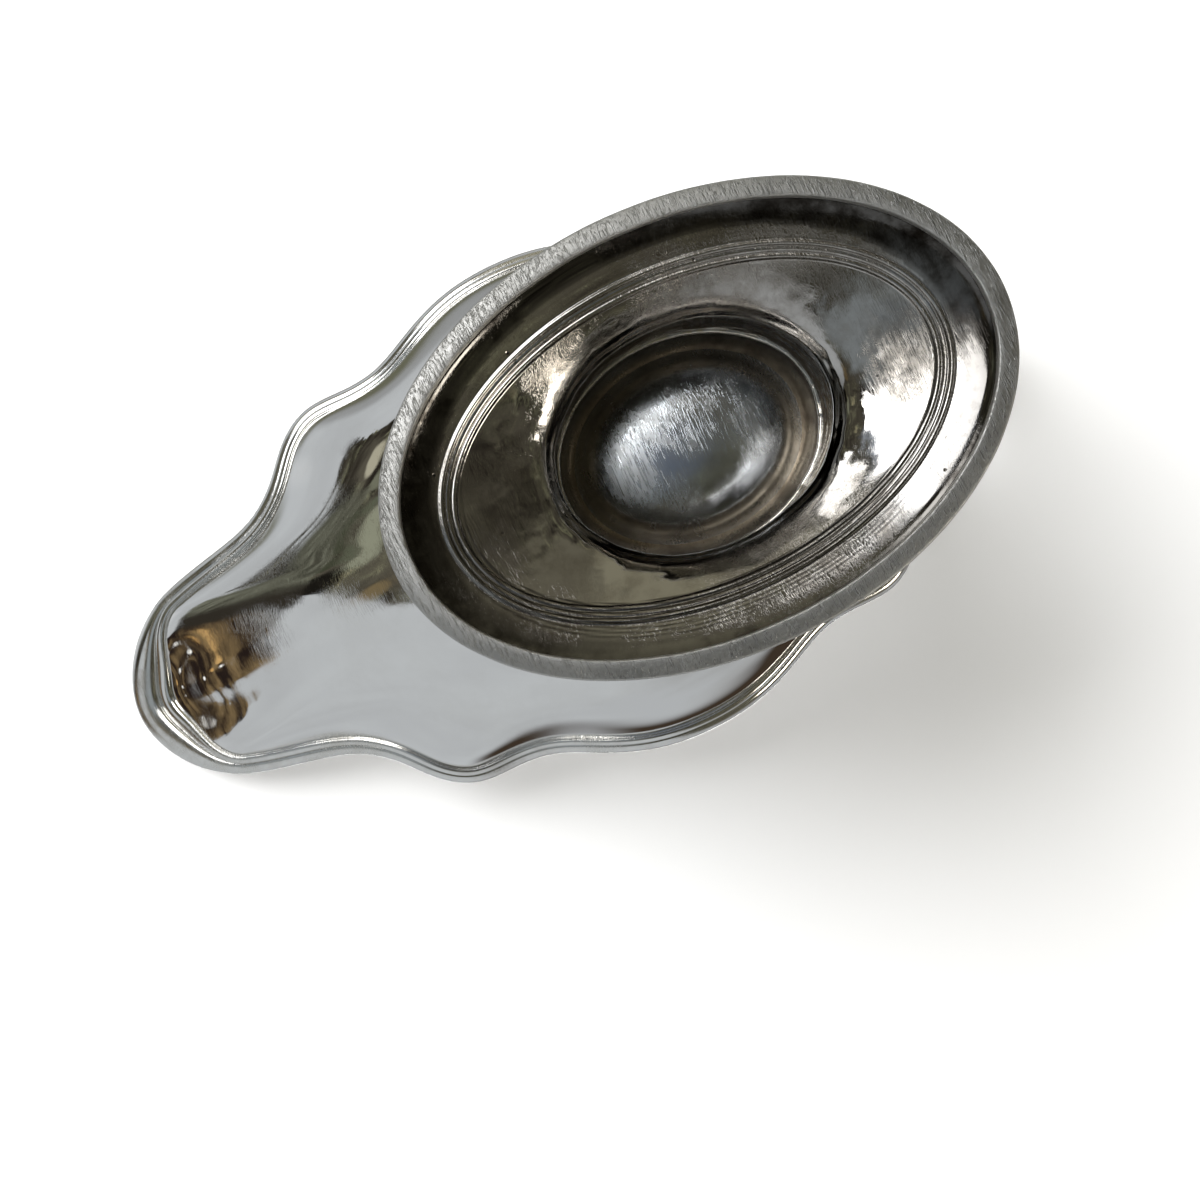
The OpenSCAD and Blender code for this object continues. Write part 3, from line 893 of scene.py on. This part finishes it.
def one_sided(name, camera_glow, seen_glow):
    """White to the camera from its front, and clear from behind and at a grazing angle.

    Other rays see seen_glow on its front.
    """
    material, t = new_material(name)
    path = t.add("ShaderNodeLightPath")
    geometry = t.add("ShaderNodeNewGeometry")
    facing = t.add("ShaderNodeLayerWeight")
    facing.inputs["Blend"].default_value = 0.5
    grazing = t.spread(facing.outputs["Facing"], 0.45, 0.6)
    diffuse = t.add("ShaderNodeBsdfDiffuse")
    diffuse.inputs["Color"].default_value = (0.9, 0.9, 0.9, 1)
    glow = t.add("ShaderNodeEmission")
    glow.inputs["Color"].default_value = (1, 1, 1, 1)
    glow.inputs["Strength"].default_value = camera_glow
    lit = t.add("ShaderNodeAddShader")
    t.link(diffuse.outputs[0], lit.inputs[0])
    t.link(glow.outputs[0], lit.inputs[1])
    seen = t.add("ShaderNodeEmission")
    seen.inputs["Color"].default_value = seen_glow
    seen.inputs["Strength"].default_value = 1.0
    by_ray = t.add("ShaderNodeMixShader")
    t.link(path.outputs["Is Camera Ray"], by_ray.inputs[0])
    t.link(seen.outputs[0], by_ray.inputs[1])
    t.link(lit.outputs[0], by_ray.inputs[2])
    clear = t.add("ShaderNodeBsdfTransparent")
    away = t.times(grazing, path.outputs["Is Camera Ray"])
    hidden = t.math("MAXIMUM", geometry.outputs["Backfacing"], away)
    out = t.add("ShaderNodeMixShader")
    t.link(hidden, out.inputs[0])
    t.link(by_ray.outputs[0], out.inputs[1])
    t.link(clear.outputs[0], out.inputs[2])
    t.link(out.outputs[0], t.add("ShaderNodeOutputMaterial").inputs["Surface"])
    return material


def add_table():
    """The white table that the boat lies on upside down, clear of the lip and the handle's crest."""
    rim_low, rim_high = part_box("rim_border")
    rest_low, rest_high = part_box("handle_thumb_rest")
    tip = Vector((rim_low.x, 0, rim_high.z))
    crest = Vector(((rest_low.x + rest_high.x) / 2, 0, rest_high.z))
    slope = (crest.z - tip.z) / (crest.x - tip.x)
    gap = 0.4 * MM
    size = 1.2

    def height(x):
        return tip.z + gap + (x - tip.x) * slope

    corners = [(-size, -size), (-size, size), (size, size), (size, -size)]
    table = plane("table_under_rim", [(x, y, height(x)) for x, y in corners])
    table.data.materials.append(one_sided("table_white", 0.23, (0.46, 0.46, 0.49, 1)))
    table.visible_shadow = False
    table.visible_glossy = False
    return table


def add_floor():
    """The pale floor under the foot, which only the camera sees, and only from above."""
    low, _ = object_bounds()
    size = 1.5
    corners = [(-size, -size), (size, -size), (size, size), (-size, size)]
    floor = plane("floor", [(x, y, low.z) for x, y in corners])
    floor.data.materials.append(one_sided("floor_white", 0.45, (0.5, 0.5, 0.5, 1)))
    floor.visible_shadow = False
    floor.visible_glossy = False
    floor.visible_diffuse = False


def add_table_light(table, towards, strength, softness):
    """The window's soft light as it falls on the table alone, where it draws the boat's shadow."""
    data = bpy.data.lights.new("window_on_table", "SUN")
    data.energy = strength
    data.angle = math.radians(softness)
    lamp = bpy.data.objects.new("window_on_table", data)
    lamp.rotation_mode = "QUATERNION"
    lamp.rotation_quaternion = (-Vector(towards)).to_track_quat("-Z", "Y")
    bpy.context.scene.collection.objects.link(lamp)
    lit = bpy.data.collections.new("lit_by_table_light")
    lit.objects.link(table)
    lamp.light_linking.receiver_collection = lit


def add_panel(name, towards, distance, size, strength, colour=(1, 1, 1)):
    """A soft rectangular light that faces the boat."""
    data = bpy.data.lights.new(name, "AREA")
    data.shape = "RECTANGLE"
    data.size, data.size_y = size
    data.energy = strength
    data.color = colour
    lamp = bpy.data.objects.new(name, data)
    way = Vector(towards).normalized()
    low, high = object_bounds()
    lamp.location = (low + high) / 2 + way * distance
    lamp.rotation_mode = "QUATERNION"
    lamp.rotation_quaternion = (-way).to_track_quat("-Z", "Y")
    bpy.context.scene.collection.objects.link(lamp)
    return lamp


# What the dim room holds and the lamps by the wooden thing, each as degrees off the line of
# sight, turn round it, reach and colour.
ROOM_PATCHES = [
    (5, 0, 11, (0.105, 0.12, 0.145)),
    (66, 6, 4.5, (0.26, 0.27, 0.20)),
    (72, 11, 2.5, (0.10, 0.11, 0.075)),
    (78, 9, 3.0, (0.05, 0.055, 0.035)),
    (84, 23, 2.5, (0.40, 0.38, 0.29)),
    (77, 20, 3.0, (0.16, 0.165, 0.12)),
    (74, -1, 5.5, (0.010, 0.009, 0.007)),
    (90, 15, 5.0, (0.012, 0.010, 0.009)),
    (58, -18, 4.5, (0.17, 0.13, 0.07)),
    (32, -38, 17, (0.27, 0.30, 0.32)),
    (62, 86, 26, (0.30, 0.285, 0.21)),
    (46, 112, 16, (0.17, 0.16, 0.12)),
    (26, 84, 9, (0.24, 0.22, 0.17)),
    (37, 36, 13, (0.50, 0.56, 0.66)),
]
LAMP_PATCHES = [
    (97, -16, 1.5, (0.60, 0.38, 0.15)),
    (101, -19, 1.1, (0.55, 0.33, 0.12)),
    (96, -19.5, 0.8, (0.95, 0.95, 0.92)),
    (108, -21, 1.0, (0.95, 0.95, 0.92)),
]


def table_edge(t, turn, turn_wavy):
    """How far off the line of sight the pale table begins.

    It begins at the horizon, but nearer on the lower left, and a dim tongue runs into it on the
    far left.
    """
    past = t.math("SUBTRACT", -5.0, turn)
    drop = t.times(4.0, t.math("SQRT", t.math("MAXIMUM", past, 0.0)))
    near_edge = t.math("SUBTRACT", 77.0, drop)
    left_edge = t.blend(t.spread(past, -0.4, 0.4), 91.5, near_edge)
    tongue = t.times(t.spread(turn_wavy, 16.0, 21.0), t.fall(turn_wavy, 26.0, 28.5))
    left_edge = t.math("ADD", left_edge, t.times(tongue, 13.0))
    leftness = t.times(t.spread(turn, -118.0, -98.0), t.fall(turn, 28.5, 30.5))
    return t.blend(leftness, 90.0, left_edge)


def table_shades(t, way, right, off, turn):
    """The table as the silver sees it: pale, with lit and shaded parts by direction."""
    shade = t.mix(t.spread(right, 0.05, 0.75), (0.50, 0.525, 0.545), (0.16, 0.145, 0.125))
    shade = t.mix(t.spread(t.noise(way, 2.0, 2.0), 0.35, 0.7), shade, (0.45, 0.47, 0.49))
    bright = t.times(t.spread(off, 112.0, 124.0), t.spread(turn, -50.0, -35.0))
    bright = t.times(bright, t.fall(turn, 12.0, 20.0))
    shade = t.mix(bright, shade, (0.62, 0.64, 0.66))
    above = t.times(t.spread(off, 122.0, 134.0), t.spread(turn, 30.0, 42.0))
    shade = t.mix(above, shade, (0.30, 0.31, 0.315))
    contact = t.times(t.spread(off, 138.0, 150.0), t.spread(turn, 14.0, 26.0))
    shade = t.mix(contact, shade, (0.13, 0.13, 0.09))
    corner = t.times(t.spread(off, 130.0, 146.0), t.fall(turn, -100.0, -80.0))
    corner = t.times(corner, t.spread(turn, -175.0, -160.0))
    return t.mix(corner, shade, (0.045, 0.032, 0.022))


def dim_room(t, way, streak, ripple):
    """The room on the viewer's side, with streaks and patches of light in it."""
    cloud = t.noise(way, 3.0, 4.0, 0.6, 1.2)
    room = t.mix(t.spread(cloud, 0.38, 0.62), (0.016, 0.013, 0.010), (0.090, 0.082, 0.062))
    room = t.mix(t.spread(streak, 0.52, 0.66), room, (0.20, 0.20, 0.13))
    room = t.mix(t.spread(streak, 0.64, 0.74), room, (0.42, 0.38, 0.24))
    for at_off, at_turn, reach, colour in ROOM_PATCHES:
        room = t.mix(t.patch(way, at_off, at_turn, reach, ripple), room, colour)
    return room


def wooden_thing(t, way, streak, turn, turn_wavy, off_wavy):
    """Where a brown wooden thing stands low on the left, and its look; the spout's tip mirrors it."""
    near_edge = t.spread(turn, -14.0, -5.0, 84.0, 77.0)
    far_edge = t.spread(turn, -15.0, -9.0, 119.0, 107.0)
    place = t.times(t.spread(turn_wavy, -31.0, -29.5), t.fall(turn_wavy, 14.0, 19.0))
    place = t.times(place, t.spread(t.math("SUBTRACT", off_wavy, near_edge), 0.0, 1.2))
    place = t.times(place, t.fall(t.math("SUBTRACT", off_wavy, far_edge), -2.0, 1.0))
    grain = t.noise(t.stretched(way, (3.0, 3.0, 13.0)), 1.0, 3.0, 0.55, 0.3)
    wood = t.mix(t.spread(grain, 0.44, 0.58), (0.018, 0.012, 0.010), (0.20, 0.14, 0.07))
    wood = t.mix(t.spread(grain, 0.60, 0.68), wood, (0.34, 0.29, 0.22))
    wood = t.mix(t.spread(turn_wavy, -14.0, -10.0), wood, (0.030, 0.026, 0.020))
    far_side = t.mix(t.spread(streak, 0.4, 0.6), (0.06, 0.06, 0.045), (0.17, 0.175, 0.135))
    return place, t.mix(t.spread(turn_wavy, -4.0, 6.0), wood, far_side)


def add_world():
    """White behind the boat; for the silver to reflect, a pale table and a dim room with lights.

    Directions are measured from the main view's line of sight: off is the angle away from the
    viewer and turn the angle round it, 0 to the left and growing upwards.
    """
    world = bpy.data.worlds.new("room")
    bpy.context.scene.world = world
    world.use_nodes = True
    t = Tree(world.node_tree)
    way = t.add("ShaderNodeTexCoord").outputs["Generated"]
    cos_view, sin_view = math.cos(VIEW_TURN), math.sin(VIEW_TURN)
    right = t.along(way, (cos_view, sin_view, 0))
    up = t.along(way, (sin_view, -cos_view, 0))
    off = t.math("DEGREES", t.math("ARCCOSINE", t.along(way, (0, 0, -1))))
    turn = t.math("DEGREES", t.math("ARCTAN2", up, t.times(right, -1.0)))
    warp = t.math("SUBTRACT", t.noise(way, 5.0, 3.0, 0.6), 0.5)
    ripple = t.math("SUBTRACT", t.noise(way, 11.0, 4.0, 0.65, 1.5), 0.5)
    off_wavy = t.math("ADD", off, t.times(warp, 7.0))
    turn_wavy = t.math("ADD", turn, t.times(ripple, 10.0))
    streak = t.noise(t.stretched(way, (9.0, 3.0, 7.0)), 1.0, 4.0, 0.6, 2.0)

    edge = table_edge(t, turn, turn_wavy)
    table = t.spread(t.math("SUBTRACT", off_wavy, edge), -0.7, 0.7)
    around = t.mix(table, dim_room(t, way, streak, ripple), table_shades(t, way, right, off, turn))
    place, wood = wooden_thing(t, way, streak, turn, turn_wavy, off_wavy)
    around = t.mix(place, around, wood)
    for at_off, at_turn, reach, colour in LAMP_PATCHES:
        around = t.mix(t.patch(way, at_off, at_turn, reach, ripple), around, colour)

    path = t.add("ShaderNodeLightPath")
    shown = t.mix(path.outputs["Is Camera Ray"], around, (1.0, 1.0, 1.0))
    background = t.add("ShaderNodeBackground")
    t.link(shown, background.inputs["Color"])
    t.link(background.outputs[0], t.add("ShaderNodeOutputWorld").inputs["Surface"])


# ---------------------------------------------------------------- build everything

add_camera()

# Each silver's clean and tarnished colours, its roughness from and to, tarnish and hairlines.
polished = silver("silver_polished", (0.93, 0.92, 0.90), (0.62, 0.58, 0.52), 0.012, 0.03, 0.10, 0.04)
# The satin's bluish colour is a painted reflection of the bluish window light.
satin_blue_reflection = silver("silver_satin_blue_reflection", (0.70, 0.74, 0.79), (0.46, 0.43, 0.36), 0.15, 0.26, 0.35, 0.3)
reeded = silver("silver_reeded", (0.90, 0.89, 0.86), (0.50, 0.46, 0.38), 0.13, 0.24, 0.35, 0.10)
foot_outside = silver(
    "silver_foot_outside", (0.92, 0.90, 0.87), (0.55, 0.49, 0.42), 0.03, 0.08, 0.18, 0.08)
# Its near-black crust, read from the vertices, is tarnish and painted shade.
foot_inside = silver(
    "silver_foot_inside", (0.66, 0.64, 0.61), (0.26, 0.22, 0.17), 0.06, 0.18, 0.60, 0.15,
    dents=0.5, pits=1.0, crusted_and_shaded=True)
# The collar's inside is dark brown: tarnish and painted shade deep in the neck.
collar_inside_tarnish_and_shade = silver(
    "silver_collar_inside_tarnish_and_shade", (0.22, 0.18, 0.13), (0.07, 0.055, 0.04), 0.25, 0.40, 0.8)
cast = silver("silver_cast", (0.92, 0.90, 0.86), (0.48, 0.42, 0.34), 0.05, 0.12, 0.25, 0.10, dents=0.3)
solder = silver("silver_solder", (0.88, 0.84, 0.76), (0.40, 0.34, 0.26), 0.10, 0.20, 0.5, dents=1.0)
ground = ground_silver("silver_ground")

rows, rim_out = bowl_rows()
make_bowl(rows, rim_out, polished, satin_blue_reflection)
make_border(rows, rim_out, reeded)
make_foot_shell(foot_outside, foot_inside)
make_base_ring(ground)
make_collar(foot_outside, collar_inside_tarnish_and_shade)
make_seam(solder)
make_handle(cast)
make_thumb_rest(cast)
make_mounts(cast)

table = add_table()
add_floor()
add_world()

# The way to each light, then its distance, size in metres and strength.
add_table_light(table, (-0.383, -0.637, -0.669), 3.1, 50)
add_panel("window_below", (-0.228, -0.411, -0.883), 0.75, (0.34, 0.34), 1.7)
add_panel("window_beside", (-0.28, -0.84, -0.44), 0.80, (0.30, 0.24), 0.7)
add_panel("lamp_below", (0.52, 0.72, -0.46), 0.8, (0.30, 0.16), 1.2, (1.0, 0.94, 0.84))
add_panel("window_above", (-0.04, 0.06, 1.0), 0.9, (0.50, 0.40), 4.0)

bpy.context.scene.view_settings.view_transform = "Standard"
